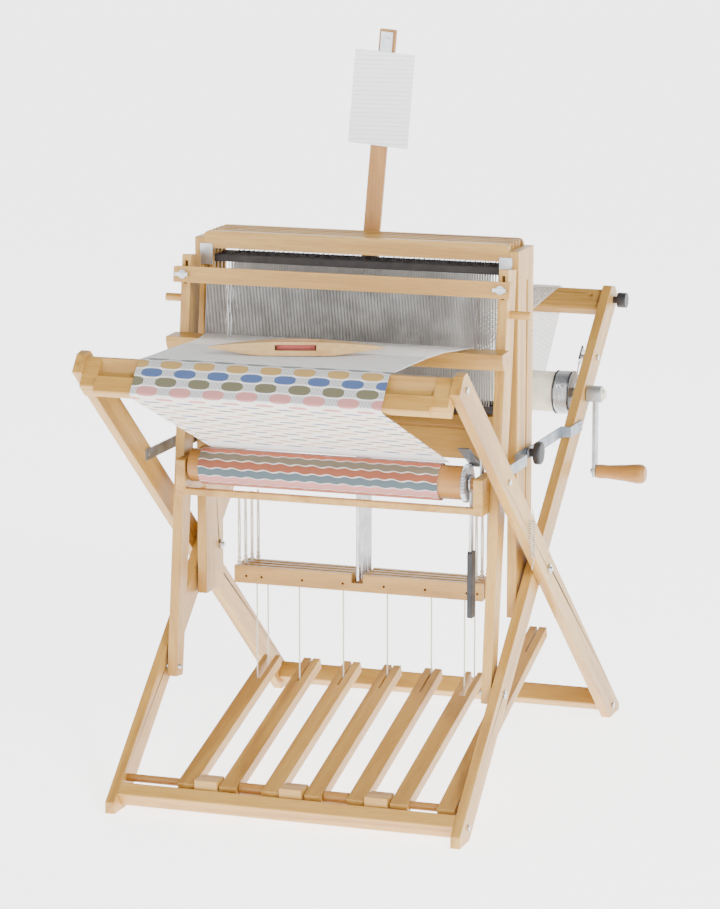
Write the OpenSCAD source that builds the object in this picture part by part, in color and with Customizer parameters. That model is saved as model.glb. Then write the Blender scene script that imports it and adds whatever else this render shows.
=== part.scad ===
// Folding floor loom: an X frame of inner and outer legs hinged to an upright
// castle, with beater, treadles, lamms, shafts, cloth beam and warp beam.
// Origin on the floor at the centre of its footprint. +X to the weaver's right, +Y back, +Z up.

/* [Frame] */
// Width over the outer legs
frame_w = 624; // [600:1:660]
// Thickness of the legs
leg_t = 16; // [14:0.5:18]
// Width of the legs seen from the side
leg_w = 47; // [42:1:50]
// Slope of the inner legs from the floor
inner_slope = 40.7; // [40:0.1:42]
// Slope of the outer legs from the floor
outer_slope = 39.2; // [38.5:0.1:40]
// Distance of the cross bolt behind the castle's centre
pivot_y = 22; // [18:1:26]
// Height of the cross bolt
pivot_z = 352; // [348:1:356]

/* [Castle] */
// Height of the castle
castle_h = 877; // [870:1:890]
// Depth of the castle posts
castle_d = 84; // [80:1:88]
// Thickness of the castle posts
post_t = 16; // [14:0.5:18]
// Distance between shafts
shaft_pitch = 16.5; // [16:0.1:17]

/* [Beater] */
// Lean of the beater at rest
beater_lean = 7; // [6:0.1:8]
// Height of the beater above its bolt
beater_h = 672; // [660:1:680]
// Length of the reed
reed_l = 470; // [440:1:480]

/* [Treadles] */
// Rise of the treadles from the floor
treadle_rise = 16; // [14:0.1:17]
// Length of a treadle behind its rod
treadle_l = 400; // [380:1:410]
// Width of a treadle
treadle_w = 29; // [24:1:32]
// Distance between treadles
treadle_pitch = 71; // [68:0.5:72]

/* [Beams] */
// Radius of the cloth beam
cloth_beam_r = 27; // [24:0.5:28]
// Radius of the cloth wound on it
roll_r = 30.5; // [29:0.5:32]
// Radius of the warp beam
warp_beam_r = 34; // [30:0.5:36]
// Width of the woven cloth
cloth_w = 404; // [380:1:410]

/* [Hidden] */
$fn = 48;
outer_x = frame_w / 2;
outer_in = outer_x - leg_t;
inner_x = outer_in - 0.8;
inner_in = inner_x - leg_t;
post_x = inner_in - 4;
post_in = post_x - post_t;
half_d = castle_d / 2;
row_x = -38;
pitch_x = [for (i = [0:5]) i * treadle_pitch - 173];
brake_x = 259;
rod_y = -344;
rod_z = 46;
rod_r = 6.5;
spacer_r = 9.5;
strut_y = 8;
strut_z = 545;
strut_pin_r = 3.55;
cb_y = -148;
cb_z = 521;
wb_s = 368;
beater_s = -252;
beater_x = post_x + 0.2;
lamm_z = 301;
lamm_h = 29;
cloth_x0 = -208;
wood = "#dcb27c";
wood_dark = "#c9985c";
steel = "#9aa0a6";
dark = "#1d1d20";
cloth = "#e3e0dc";
cord = "#cfc9bd";

// ---- frames of reference ----
// the frame is modelled about its own centre plane, and the crank sets the footprint off it
module placed() translate([row_x, 0, 0]) children();
module both_sides() { children(); mirror([1, 0, 0]) children(); }
module on_inner() translate([0, pivot_y, pivot_z]) rotate([inner_slope, 0, 0]) children();
module on_outer() translate([0, pivot_y, pivot_z]) rotate([-outer_slope, 0, 0]) children();
module on_beater() on_inner() translate([0, beater_s, 0])
    rotate([-inner_slope - beater_lean, 0, 0]) children();
function on_i(s, w) = [pivot_y + s * cos(inner_slope) - w * sin(inner_slope),
    pivot_z + s * sin(inner_slope) + w * cos(inner_slope)];
function on_o(s, w) = [pivot_y + s * cos(outer_slope) + w * sin(outer_slope),
    pivot_z - s * sin(outer_slope) + w * cos(outer_slope)];
function shaft_y(i) = (i - 2.5) * shaft_pitch;

// ---- shared shapes ----
// cylinder along X from x0 to x1
module rod_x(r, x0, x1, y = 0, z = 0)
    translate([x0, y, z]) rotate([0, 90, 0]) cylinder(r = r, h = x1 - x0);
module box(a, b) translate(a) cube(b - a);
// profile of [y, z] points extruded along X
module along_x(x0, x1, pts) translate([x0, 0, 0]) rotate([90, 0, 90]) linear_extrude(x1 - x0) polygon(pts);
function chamfered(a, b, c) = [[a[0] + c, a[1]], [b[0] - c, a[1]], [b[0], a[1] + c], [b[0], b[1] - c],
    [b[0] - c, b[1]], [a[0] + c, b[1]], [a[0], b[1] - c], [a[0], a[1] + c]];
// ribbon of thickness t along a path of [y, z] points
function normal(p, i) = let (a = p[max(i - 1, 0)], b = p[min(i + 1, len(p) - 1)], d = b - a)
    [-d[1], d[0]] / norm(d);
module ribbon(x0, x1, p, t) along_x(x0, x1, concat([for (i = [0:len(p) - 1]) p[i] + normal(p, i) * t / 2],
    [for (i = [len(p) - 1:-1:0]) p[i] - normal(p, i) * t / 2]));
// round cord swept along a route of points
function unit(v) = v / norm(v);
module sweep(route, r, n = 8) {
    m = len(route);
    pts = [for (i = [0:m - 1]) let (t = unit(route[min(i + 1, m - 1)] - route[max(i - 1, 0)]),
        u = unit(cross(t, abs(t[2]) > 0.8 ? [1, 0, 0] : [0, 0, 1])), v = cross(t, u))
        for (k = [0:n - 1]) route[i] + r * (cos(360 * k / n) * u + sin(360 * k / n) * v)];
    faces = concat([[for (k = [0:n - 1]) k]], [[for (k = [n - 1:-1:0]) (m - 1) * n + k]],
        [for (i = [0:m - 2]) for (k = [0:n - 1]) [i * n + k, (i + 1) * n + k,
        (i + 1) * n + (k + 1) % n, i * n + (k + 1) % n]]);
    polyhedron(pts, faces);
}
module bolt_head(r = 5, h = 3) rotate([0, 90, 0]) cylinder(r = r, h = h);

module on_stick() translate([-25, half_d + 5, 600]) rotate([-1, 4.6, 0]) children();

// ---- castle ----
module castle_posts() color(wood) both_sides() difference() {
    along_x(post_in, post_x, [[-half_d, 281], [half_d - 6, 281], [half_d - 6, 400], [half_d, 424],
        [half_d, castle_h - 36], [half_d + 2, castle_h - 34], [half_d + 2, castle_h],
        [-half_d, castle_h]]);
    box([post_in - 1, strut_y - 4, 462], [post_x + 1, strut_y + 4, 826]);
    rod_x(4.05, post_in - 1, post_x + 1, pivot_y, pivot_z);
}
// top boards with rounded upper corners and a low rail in front of the shafts
module top_board(y0, y1, x, z0, z1, r) translate([0, y1, 0]) rotate([90, 0, 0]) linear_extrude(y1 - y0) {
    translate([-x, z0]) square([2 * x, z1 - z0 - r]);
    translate([-x + r, z0]) square([2 * x - 2 * r, z1 - z0]);
    for (s = [-1, 1]) translate([s * (x - r), z1 - r]) circle(r);
}
module castle_braces() color(wood) {
    top_board(-half_d, -half_d + 8, post_in, castle_h - 17, castle_h + 11, 9);
    top_board(half_d - 8, half_d, post_in, castle_h - 17, castle_h + 11, 9);
    box([-post_in, -half_d, 538], [post_in, -half_d + 8, 586]);
    box([-post_in, half_d - 8, 538], [post_in, half_d, 586]);
}
module castle_hardware() color(steel) {
    difference() {
        box([240.4, -130, 530], [242.9, -114, 554]);
        rod_x(2.55, 240, 243.2, -122, 547);
    }
    both_sides() {
    box([243.5, -half_d - 2, castle_h - 44], [post_in + 6, -half_d, castle_h - 10]);
    rod_x(4, post_in - 8, outer_x + 6, pivot_y, pivot_z);
    rod_x(8, post_in - 4, post_in, pivot_y, pivot_z);
    rod_x(7.5, post_x, inner_in - 0.2, pivot_y, pivot_z);
    rod_x(8, outer_x + 0.2, outer_x + 3, pivot_y, pivot_z);
    }
}
// arms that carry the cloth beam, with the rail under it
module beam_brackets() color(wood) {
    both_sides() difference() {
        along_x(post_in - post_t, post_in, chamfered([-176, 474], [half_d - 14, 534], 2));
        rod_x(9.05, post_in - post_t - 1, post_in + 1, cb_y, cb_z);
    }
    box([-post_in + post_t, -176, 476], [post_in - post_t, -164, 487]);
}
module draft_stick() color(wood_dark) on_stick()
    box([-14, -4, 160], [14, 4, 616]);
module stick_clip() color(steel) on_stick() {
    box([-10, -7, 560], [10, -4, 612]);
    translate([0, -7, 596]) rotate([90, 0, 0]) cylinder(r = 7, h = 3);
}
module note_paper() color("white") on_stick()
    box([-51, -8.6, 428], [51, -8, 580]);
module warp_front() color(cloth) hull() {
    box([cloth_x0, -438, 743.2], [cloth_x0 + cloth_w, -436, 744]);
    box([-reed_l / 2 + 10, -124, 732.6], [reed_l / 2 - 10, -122, 733.4]);
}
module warp_back() color(cloth) hull() {
    box([-reed_l / 2 + 10, 44, 728], [reed_l / 2 - 10, 46, 728.8]);
    box([-cloth_w / 2, 458, 748], [cloth_w / 2, 460, 748.8]);
}
module tabby_cords() color(cord) for (x = [pitch_x[0], pitch_x[5]]) for (i = [1, 3])
    let (j = i + (x > 0 ? 1 : 0)) tie_cord(x + (i - 2) * 3.5, j, lamm_z - 0.5);
// cord from a lamm through a treadle's slot, knotted under the treadle
function under_y(j) = rod_z + (shaft_y(j) - rod_y) * tan(treadle_rise) - 9 / cos(treadle_rise);
module tie_cord(x, j, top) translate([x, shaft_y(j), 0]) {
    translate([0, 0, under_y(j) - 5]) cylinder(r = 1.2, h = top - under_y(j) + 5);
    translate([0, 0, under_y(j) - 5]) sphere(r = 3.2);
}

// ---- inner legs: front foot up to the back beam ----
module inner_legs() color(wood) difference() {
    both_sides() on_inner() along_x(inner_in, inner_x,
        [[-600, -leg_w / 2], [598, -leg_w / 2], [603, -leg_w / 2 + 5], [603, leg_w / 2 - 18],
        [588, leg_w / 2], [-600, leg_w / 2]]);
    box([-400, -800, -200], [400, 0, 0]);
    box([-400, -800, -1], [400, -401, 60]);
    rod_x(4.05, -400, 400, pivot_y, pivot_z);
    on_inner() rod_x(4.05, -400, 400, beater_s);
    on_inner() rod_x(8.05, -400, 400, wb_s);
}
module front_rail() color(wood) {
    on_inner() along_x(-inner_in, inner_in, chamfered([-521, -8], [-497, 24], 1.5));
    for (i = [0, 2, 4]) let (x = (pitch_x[i] + pitch_x[i + 1]) / 2) difference() {
        box([x - 19, rod_y - 22, 24], [x + 19, rod_y + 14, rod_z + 13]);
        rod_x(rod_r + 0.05, x - 20, x + 20, rod_y, rod_z);
        on_inner() box([-300, -560, -60], [300, -497, 24]);
    }
}
module treadle_rod() color(wood_dark) {
    rod_x(rod_r, -inner_in, inner_in, rod_y, rod_z);
    for (x = [(pitch_x[1] + pitch_x[2]) / 2, (pitch_x[3] + pitch_x[4]) / 2]) difference() {
        rod_x(spacer_r, x - 20, x + 20, rod_y, rod_z);
        rod_x(rod_r, x - 21, x + 21, rod_y, rod_z);
    }
}
module back_beam() color(wood) on_inner() difference() {
    along_x(-inner_in, inner_in, chamfered([546, -9], [592, 11], 3));
    for (s = [-1, 1]) translate([s * 258, 576, -20]) cylinder(r = 3.5, h = 40);
}
// bolts through the inner legs, the brake's anchor and the knobs on the back beam
module inner_leg_hardware() {
    color(steel) on_inner() {
        for (s = [-504, 447]) both_sides() translate([inner_x, s, 0]) bolt_head();
        both_sides() rod_x(4, beater_x - post_t - 5, inner_x + 3, beater_s);
        both_sides() translate([inner_x, beater_s, 0]) bolt_head(7, 2);
        translate([inner_in - 14, 447, 0]) rotate([0, 90, 0]) cylinder(r = 4, h = 14);
        translate([inner_in - 14, 437, -8]) cube([3, 30, 14]);
    }
    color(steel) both_sides() rod_x(strut_pin_r, inner_x, inner_x + 3.3, on_i(301, -8)[0], strut_z);
    color(dark) both_sides() on_inner() translate([inner_x, 581, -5]) rotate([0, 90, 0]) {
        cylinder(r = 6, h = 8);
        translate([0, 0, 8]) cylinder(r = 13, h = 15);
    }
}
module brake_cable() color(steel) sweep([for (p = [[448, -4, 263.8], [422, -17, 263], [394.5, -23.5, 262]])
    concat([p[2]], on_i(p[0], p[1]))], 1.2);
module warp_tail() color(cloth) ribbon(-cloth_w / 2, cloth_w / 2, [on_i(590, 12), on_i(593, 9),
    on_i(593, -11), on_i(wb_s, -warp_beam_r - 1.2)], 0.8);

// ---- outer legs: breast beam down to the back foot ----
module outer_legs() color(wood) difference() {
    both_sides() on_outer() along_x(outer_in, outer_x,
        [[-613, -leg_w / 2], [-613, leg_w / 2 - 14], [-601, leg_w / 2], [640, leg_w / 2],
        [640, -leg_w / 2]]);
    box([-400, 0, -300], [400, 900, 0]);
    box([-400, 477, -1], [400, 900, 60]);
    rod_x(4.05, -400, 400, pivot_y, pivot_z);
}
module back_rail() color(wood) on_outer()
    along_x(-outer_in, outer_in, chamfered([498, -14], [522, 18], 1.5));
// bullnosed beam with a flat web under it and a lower board in front
module breast_beam() color(wood) on_outer() {
    along_x(-outer_in, outer_in, concat([[-578, -44], [-598, -44], [-600, -40], [-600, -12]],
        [for (a = [150:-15:0]) [-595 + 15 * cos(a), 14.5 * sin(a)]], [[-580, -12]]));
    both_sides() along_x(270, outer_in, chamfered([-608, -44], [-598, 10], 2));
    along_x(-270, 270, chamfered([-612, -54], [-600, -24], 2));
}
module outer_leg_bolts() color(steel) {
    on_outer() {
        for (s = [-588, 527]) both_sides() translate([outer_x, s, 0]) bolt_head();
        both_sides() translate([outer_x, -297, 0]) bolt_head();
    }
    both_sides() rod_x(strut_pin_r, outer_in - 3.3, outer_in, on_o(-297, 6)[0], strut_z);
}
module cloth_web() color(cloth) {
    ribbon(cloth_x0, cloth_x0 + cloth_w, concat(
        [for (a = [130:15:160]) on_o(-595 + 15.6 * cos(a), 15.2 * sin(a))],
        [on_o(-613.8, -22)], [for (t = [141:18:231]) on_o(-610, -52) + 3.8 * [cos(t), sin(t)]],
        [for (t = [233:7:247]) on_o(-602, -52) + 3.8 * [cos(t), sin(t)]],
        [[cb_y, cb_z + roll_r + 1]]), 0.9);
}
// return spring of the brake, from the outer leg down to the brake treadle's cord
module brake_spring() color(steel) translate([outer_x + 5.2, -97, 376]) difference() {
    cylinder(r = 5, h = 102);
    translate([0, 0, -1]) cylinder(r = 3.6, h = 104);
}

// ---- folding struts ----
// flat strap in the YZ plane whose far end is joggled sideways
module strap(x0, x1, l, j) {
    difference() {
        union() {
            box([x0, -9, -9], [x0 + 2.5, j, 9]);
            rod_x(9, x0, x0 + 2.5);
            box([min(x0, x1), j - 2.5, -9], [max(x0, x1) + 2.5, j, 9]);
            box([x1, j - 2.5, -9], [x1 + 2.5, l, 9]);
            rod_x(9, x1, x1 + 2.5, l, 0);
        }
        rod_x(strut_pin_r + 0.05, min(x0, x1) - 1, max(x0, x1) + 9, 0, 0);
    }
}
module rear_struts() color(steel) both_sides()
    translate([0, on_i(301, -8)[0], strut_z]) mirror([0, 1, 0])
    strap(inner_x + 0.3, inner_in + 0.8, on_i(301, -8)[0] - strut_y, 62);
module strut_knobs() color(dark) both_sides()
    translate([inner_in + 3.3, strut_y, strut_z]) rotate([0, 90, 0]) {
    cylinder(r = 7, h = 8);
    translate([0, 0, 8]) cylinder(r = 19, h = 12);
}
module front_struts() color(steel) both_sides() translate([0, on_o(-297, 6)[0], strut_z])
    strap(outer_in - 2.8, post_x + 0.9, strut_y - on_o(-297, 6)[0], 150);

// ---- beater ----
module beater_uprights() color(wood) both_sides() on_beater() difference() {
    along_x(beater_x - post_t, beater_x, [[-10, -16], [20, -16], [34, 540], [34, beater_h],
        [-10, beater_h]]);
    rod_x(4.05, beater_x - post_t - 1, beater_x + 1);
    box([beater_x - 10.5, -11, 625], [beater_x - 5.5, 35, 662]);
}
module beater_cap() color(wood) on_beater() difference() {
    top_board(-26, -10.2, 283, 627, 653, 3);
    box([-reed_l / 2 - 2, -15.2, 618], [reed_l / 2 + 2, -9.2, 634]);
    for (s = [-1, 1]) translate([s * (beater_x - 8), 0, 640]) rotate([90, 0, 0]) cylinder(r = 2.6, h = 60);
}
module beater_sley() color(wood) on_beater() difference() {
    union() {
        along_x(-283, 283, [[-38, 514], [-10.2, 514], [-10.2, 546], [-50, 540], [-50, 532]]);
        box([-beater_x + post_t, -12, 514], [beater_x - post_t, 30, 541]);
    }
    box([-reed_l / 2 - 2, -15.2, 537], [reed_l / 2 + 2, -9.2, 560]);
}
module reed() color("#6c6a66") on_beater() {
    box([-reed_l / 2, -14.2, 537.2], [reed_l / 2, -10.2, 633.6]);
}
// wing nuts on the cap, the side pegs and the felt bumpers
module beater_hardware() on_beater() {
    color(steel) both_sides() translate([beater_x - 8, 0, 640]) {
        rotate([90, 0, 0]) cylinder(r = 2.4, h = 34);
        translate([0, -26, 0]) rotate([90, 0, 0]) cylinder(r = 7, h = 2);
        translate([-11, -33, -3]) cube([22, 4, 6]);
    }
    color(wood) both_sides() rod_x(6.5, beater_x, beater_x + 33, 12, 601);
}

// ---- cloth beam ----
module cloth_beam() color(wood_dark) {
    rod_x(cloth_beam_r, -post_in + post_t + 4, 222, cb_y, cb_z);
    rod_x(9, -post_in, post_in, cb_y, cb_z);
}
module cloth_roll() color("#b9a79c") difference() {
    rod_x(roll_r, -220, 184, cb_y, cb_z);
    rod_x(cloth_beam_r, -221, 185, cb_y, cb_z);
}
module ratchet() color(steel) difference() {
    translate([222, cb_y, cb_z]) rotate([90, 0, 90]) linear_extrude(7) polygon([
        for (i = [0:31]) for (k = [0, 1])
            (k == 0 ? 31 : 27) * [cos(i * 11.25 + k * 3), sin(i * 11.25 + k * 3)]]);
    rod_x(9, 220, 232, cb_y, cb_z);
}
// holding pawl hinged on a plate on the right arm and dropped on the ratchet
module pawl() color(steel) {
    along_x(220.5, 240, [[-186, 583], [-184, 585], [-119, 550], [-119, 543.5],
        [-125.5, 543.5], [-129, 550]]);
    rod_x(2.5, 240, 244, -122, 547);
}
module advance_lever() {
    color(steel) difference() {
        union() {
            rod_x(15, 231, 234, cb_y, cb_z);
            box([231, cb_y - 7, 404], [234, cb_y + 7, cb_z - 6]);
        }
        rod_x(9.05, 230, 235, cb_y, cb_z);
    }
    color(dark) along_x(228.5, 236.5, chamfered([cb_y - 10, 304], [cb_y + 10, 412], 3));
}

// ---- warp beam ----
module warp_beam() color("#e9e1cb") on_inner() {
    rod_x(warp_beam_r, -262, 243, wb_s);
    rod_x(8, -inner_x - 4, inner_x + 32, wb_s);
}
module brake_drum() color(steel) on_inner() difference() {
    union() {
        rod_x(37, 243, 245, wb_s);
        rod_x(34, 245, 270, wb_s);
        rod_x(37, 270, 272, wb_s);
    }
    rod_x(8, 240, 275, wb_s);
}
module crank_arm() color(steel) translate([0, on_i(wb_s, 0)[0], on_i(wb_s, 0)[1]]) difference() {
    union() {
        rod_x(14, inner_x + 2, inner_x + 26);
        box([inner_x + 12, -9, -130], [inner_x + 18, 9, -8]);
        rod_x(11, inner_x + 12, inner_x + 18, 0, -132);
    }
    rod_x(8, inner_x, inner_x + 40);
    rod_x(4.05, inner_x, inner_x + 40, 0, -132);
}
module crank_handle() translate([inner_x + 18, on_i(wb_s, 0)[0], on_i(wb_s, 0)[1] - 132]) {
    color(steel) rod_x(4, -10, 3);
    color("#b5793c") rotate([0, 90, 0]) rotate_extrude() polygon([
        [0, 1], [11, 1], [12, 6], [11.5, 20], [14, 50], [16.5, 72], [16, 80], [12, 85], [0, 86]]);
}

// ---- treadles and lamms ----
module treadle(x, l, rise, slot) translate([0, rod_y, rod_z]) rotate([rise, 0, 0]) difference() {
    along_x(x - treadle_w / 2, x + treadle_w / 2, [[-16, -9], [l, -9], [l, 9], [-16, 9]]);
    rod_x(rod_r + 0.05, x - 30, x + 30);
    box([x - slot / 2, l - 78, -10], [x + slot / 2, l + 1, 10]);
}
module treadle_1() color(wood) treadle(pitch_x[0], treadle_l, treadle_rise, 11);
module treadle_2() color(wood) treadle(pitch_x[1], treadle_l, treadle_rise, 3.4);
module treadle_3() color(wood) treadle(pitch_x[2], treadle_l, treadle_rise, 3.4);
module treadle_4() color(wood) treadle(pitch_x[3], treadle_l, treadle_rise, 3.4);
module treadle_5() color(wood) treadle(pitch_x[4], treadle_l, treadle_rise, 3.4);
module treadle_6() color(wood) treadle(pitch_x[5], treadle_l, treadle_rise, 11);
module brake_treadle() color(wood) treadle(brake_x, 520, treadle_rise + 2.9, 3.4);
module lamm(i) color(wood) difference() {
    box([-215, shaft_y(i) - 4.5, lamm_z], [215, shaft_y(i) + 4.5, lamm_z + lamm_h]);
    for (x = concat(pitch_x, [-200, 200])) translate([x + 6, shaft_y(i) + 6, lamm_z + 12])
        rotate([90, 0, 0]) cylinder(r = 2.2, h = 12);
    box([-10, shaft_y(i) - 5, lamm_z + 14], [10, shaft_y(i) + 5, lamm_z + lamm_h + 1]);
}
module lamm_1() lamm(1);
module lamm_2() lamm(2);
module lamm_3() lamm(3);
module lamm_4() lamm(4);
// tie-up cord of one treadle and the two side cords of one lamm
module lamm_cords(i) color(cord) {
    tie_cord(pitch_x[i], i, lamm_z);
    for (x = [-200, 200]) translate([x + (i - 2.5) * 5, shaft_y(i), lamm_z + lamm_h])
        cylinder(r = 1.2, h = 120);
}
module lamm_cords_1() lamm_cords(1);
module lamm_cords_2() lamm_cords(2);
module lamm_cords_3() lamm_cords(3);
module lamm_cords_4() lamm_cords(4);

// ---- shafts ----
// wooden top and bottom bars, end stiles, steel heddle bars, heddles and the centre rod
module shaft(i) translate([0, shaft_y(i), 0]) {
    color(wood) {
        top_board(-4, 4, 257, castle_h - 17, castle_h + 10, 9);
        box([-255, -4, 588], [255, 4, 606]);
        for (s = [-1, 1]) box([s * 251 - 4, -4, 606], [s * 251 + 4, 4, castle_h - 17]);
    }
    color("#3a3634") for (z = [616, 842]) box([-247, -1.5, z - 6], [247, 1.5, z + 6]);
    color("#8c8985") box([-222, -1.2, 622], [222, 1.2, 836]);
    color(steel) translate([2 + (i - 2.5) * 3.2, 0, lamm_z + 18]) cylinder(r = 2, h = 588 - lamm_z - 18);
}
module shaft_1() shaft(1);
module shaft_2() shaft(2);
module shaft_3() shaft(3);
module shaft_4() shaft(4);
// boat shuttle resting on the warp, its well open at the top and through a slot in the front wall
module shuttle() color("#d9a769") translate([0, -318, 741.4]) rotate([-1.9, 0, 18]) difference() {
    intersection() {
        linear_extrude(23) polygon(concat([for (a = [-70:10:70]) [140 * a / 70, -20 * hump(a)]],
            [for (a = [60:-10:-60]) [140 * a / 70, 20 * hump(a)]]));
        rotate([90, 0, 0]) translate([0, 0, -30]) linear_extrude(60)
            polygon(concat([[-141, 11], [-60, 1], [60, 1], [141, 11]],
            [for (a = [60:-10:-60]) [140 * a / 70, 13 + 10 * hump(a)]]));
    }
    translate([-37, -10, 6]) cube([74, 20, 30]);
    translate([-32, -21, 9]) cube([64, 14, 9]);
}
function hump(a) = (cos(a) - cos(70)) / (1 - cos(70));

placed() castle_posts();
placed() castle_braces();
placed() castle_hardware();
placed() beam_brackets();
placed() draft_stick();
placed() stick_clip();
placed() note_paper();
placed() warp_front();
placed() warp_back();
placed() tabby_cords();
placed() inner_legs();
placed() front_rail();
placed() treadle_rod();
placed() back_beam();
placed() inner_leg_hardware();
placed() brake_cable();
placed() warp_tail();
placed() outer_legs();
placed() back_rail();
placed() breast_beam();
placed() outer_leg_bolts();
placed() cloth_web();
placed() brake_spring();
placed() rear_struts();
placed() strut_knobs();
placed() front_struts();
placed() beater_uprights();
placed() beater_cap();
placed() beater_sley();
placed() reed();
placed() beater_hardware();
placed() cloth_beam();
placed() cloth_roll();
placed() ratchet();
placed() pawl();
placed() advance_lever();
placed() warp_beam();
placed() brake_drum();
placed() crank_arm();
placed() crank_handle();
placed() treadle_1();
placed() treadle_2();
placed() treadle_3();
placed() treadle_4();
placed() treadle_5();
placed() treadle_6();
placed() brake_treadle();
placed() lamm_1();
placed() lamm_2();
placed() lamm_3();
placed() lamm_4();
placed() lamm_cords_1();
placed() lamm_cords_2();
placed() lamm_cords_3();
placed() lamm_cords_4();
placed() shaft_1();
placed() shaft_2();
placed() shaft_3();
placed() shaft_4();
placed() shuttle();
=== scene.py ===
import math
import random

import bpy
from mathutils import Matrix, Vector


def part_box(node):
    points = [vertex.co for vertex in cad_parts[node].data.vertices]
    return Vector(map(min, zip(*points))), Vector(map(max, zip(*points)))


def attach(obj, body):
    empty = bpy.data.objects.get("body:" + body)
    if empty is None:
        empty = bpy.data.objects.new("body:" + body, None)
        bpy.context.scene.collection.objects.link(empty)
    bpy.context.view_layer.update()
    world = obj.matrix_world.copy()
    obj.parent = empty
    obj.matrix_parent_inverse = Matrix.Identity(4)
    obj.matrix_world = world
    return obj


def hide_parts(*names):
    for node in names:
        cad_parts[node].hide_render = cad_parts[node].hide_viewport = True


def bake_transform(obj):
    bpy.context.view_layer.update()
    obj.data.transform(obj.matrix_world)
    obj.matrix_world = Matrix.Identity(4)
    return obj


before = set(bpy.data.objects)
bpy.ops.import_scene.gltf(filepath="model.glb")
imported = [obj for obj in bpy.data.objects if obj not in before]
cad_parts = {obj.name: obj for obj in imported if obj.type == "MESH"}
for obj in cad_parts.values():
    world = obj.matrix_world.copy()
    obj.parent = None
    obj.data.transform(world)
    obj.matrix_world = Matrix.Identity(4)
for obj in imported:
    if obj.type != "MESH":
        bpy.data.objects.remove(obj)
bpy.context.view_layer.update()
print("frame loaded")


# places that follow from the frame

legLow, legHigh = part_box("inner_legs")
rowX = (legLow[0] + legHigh[0]) / 2  # centre plane of the loom
loom = {"pivotY": 0.022, "pivotZ": 0.352, "innerSlope": 40.7, "outerSlope": 39.2,
        "beaterS": -0.252, "beaterLean": 7.0, "shaftPitch": 0.0165}


def innerPoint(along, across):
    a = math.radians(loom["innerSlope"])
    return (loom["pivotY"] + along * math.cos(a) - across * math.sin(a),
            loom["pivotZ"] + along * math.sin(a) + across * math.cos(a))


def outerPoint(along, across):
    a = math.radians(loom["outerSlope"])
    return (loom["pivotY"] + along * math.cos(a) + across * math.sin(a),
            loom["pivotZ"] - along * math.sin(a) + across * math.cos(a))


def beaterPoint(across, up):
    y, z = innerPoint(loom["beaterS"], 0)
    a = math.radians(loom["beaterLean"])
    return (y + across * math.cos(a) + up * math.sin(a), z - across * math.sin(a) + up * math.cos(a))


# materials

def newMaterial(name):
    material = bpy.data.materials.new(name)
    material.use_nodes = True
    tree = material.node_tree
    return material, tree, tree.nodes["Principled BSDF"]


def addNode(tree, kind, **values):
    node = tree.nodes.new(kind)
    for key, value in values.items():
        if hasattr(node, key):
            setattr(node, key, value)
        else:
            node.inputs[key].default_value = value
    return node


def colourRamp(tree, factor, stops, constant=False):
    node = tree.nodes.new("ShaderNodeValToRGB")
    ramp = node.color_ramp
    if constant:
        ramp.interpolation = "CONSTANT"
    while len(ramp.elements) < len(stops):
        ramp.elements.new(0.5)
    for element, (place, colour) in zip(ramp.elements, stops):
        element.position = place
        element.color = (*colour, 1)
    tree.links.new(factor, node.inputs["Fac"])
    return node.outputs["Color"]


def mathNode(tree, operation, first, second=None):
    node = tree.nodes.new("ShaderNodeMath")
    node.operation = operation
    for socket, value in zip(node.inputs, (first, second)):
        if value is None:
            continue
        if isinstance(value, (int, float)):
            socket.default_value = value
        else:
            tree.links.new(value, socket)
    return node.outputs[0]


def objectCoords(tree, turn=(0, 0, 0), scale=(1, 1, 1)):
    coords = tree.nodes.new("ShaderNodeTexCoord")
    mapping = tree.nodes.new("ShaderNodeMapping")
    mapping.vector_type = "TEXTURE"
    mapping.inputs["Rotation"].default_value = [math.radians(v) for v in turn]
    mapping.inputs["Scale"].default_value = [1 / v for v in scale]
    tree.links.new(coords.outputs["Object"], mapping.inputs["Vector"])
    return mapping.outputs[0]


def addBump(tree, shader, height, strength, distance):
    bump = addNode(tree, "ShaderNodeBump", Strength=strength, Distance=distance)
    tree.links.new(height, bump.inputs["Height"])
    tree.links.new(bump.outputs[0], shader.inputs["Normal"])


def mixColours(tree, kind, factor, first, second):
    node = tree.nodes.new("ShaderNodeMix")
    node.data_type = "RGBA"
    node.blend_type = kind
    for socket, value in ((node.inputs[0], factor), (node.inputs[6], first), (node.inputs[7], second)):
        if hasattr(value, "links"):
            tree.links.new(value, socket)
        else:
            socket.default_value = value
    return node.outputs[2]


woodTones = {
    "maple": ((0.35, 0.170, 0.030), (0.51, 0.285, 0.062), (0.59, 0.355, 0.095)),
    "oiled": ((0.25, 0.10, 0.015), (0.38, 0.17, 0.03), (0.46, 0.23, 0.05)),
    "shuttle": ((0.50, 0.28, 0.09), (0.63, 0.39, 0.15), (0.70, 0.47, 0.21)),
}
woodMade = {}


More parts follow.
